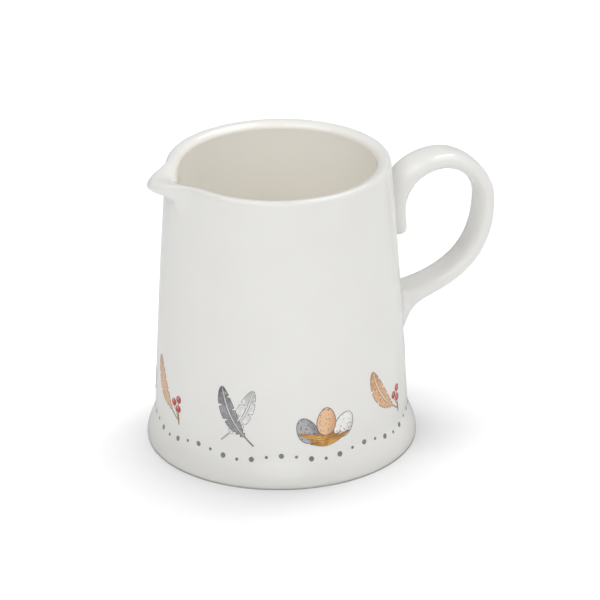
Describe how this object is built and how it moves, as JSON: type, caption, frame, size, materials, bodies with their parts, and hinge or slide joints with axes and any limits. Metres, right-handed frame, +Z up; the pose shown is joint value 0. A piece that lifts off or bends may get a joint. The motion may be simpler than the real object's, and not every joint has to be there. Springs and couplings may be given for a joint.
{
  "type": "ceramic jug",
  "caption": "White glazed earthenware jug with a tapering wall, flared foot, pulled pouring spout and a strap handle stuck on with slip.",
  "frame": {"origin": "centre of the foot ring, on the surface that the jug stands on", "axes": "+Z up along the axis of the jug, +X towards the handle, -X towards the spout"},
  "size_m": [0.16, 0.1198, 0.13],
  "materials": {
    "white_glaze": "glossy off-white glaze over cast earthenware",
    "joint_slip": "fired slip under the same glossy glaze"
  },
  "bodies": {
    "root": {"jug_body": "white_glaze", "handle": "white_glaze", "upper_slip_joint": "joint_slip", "lower_slip_joint": "joint_slip"}
  },
  "joints": []
}
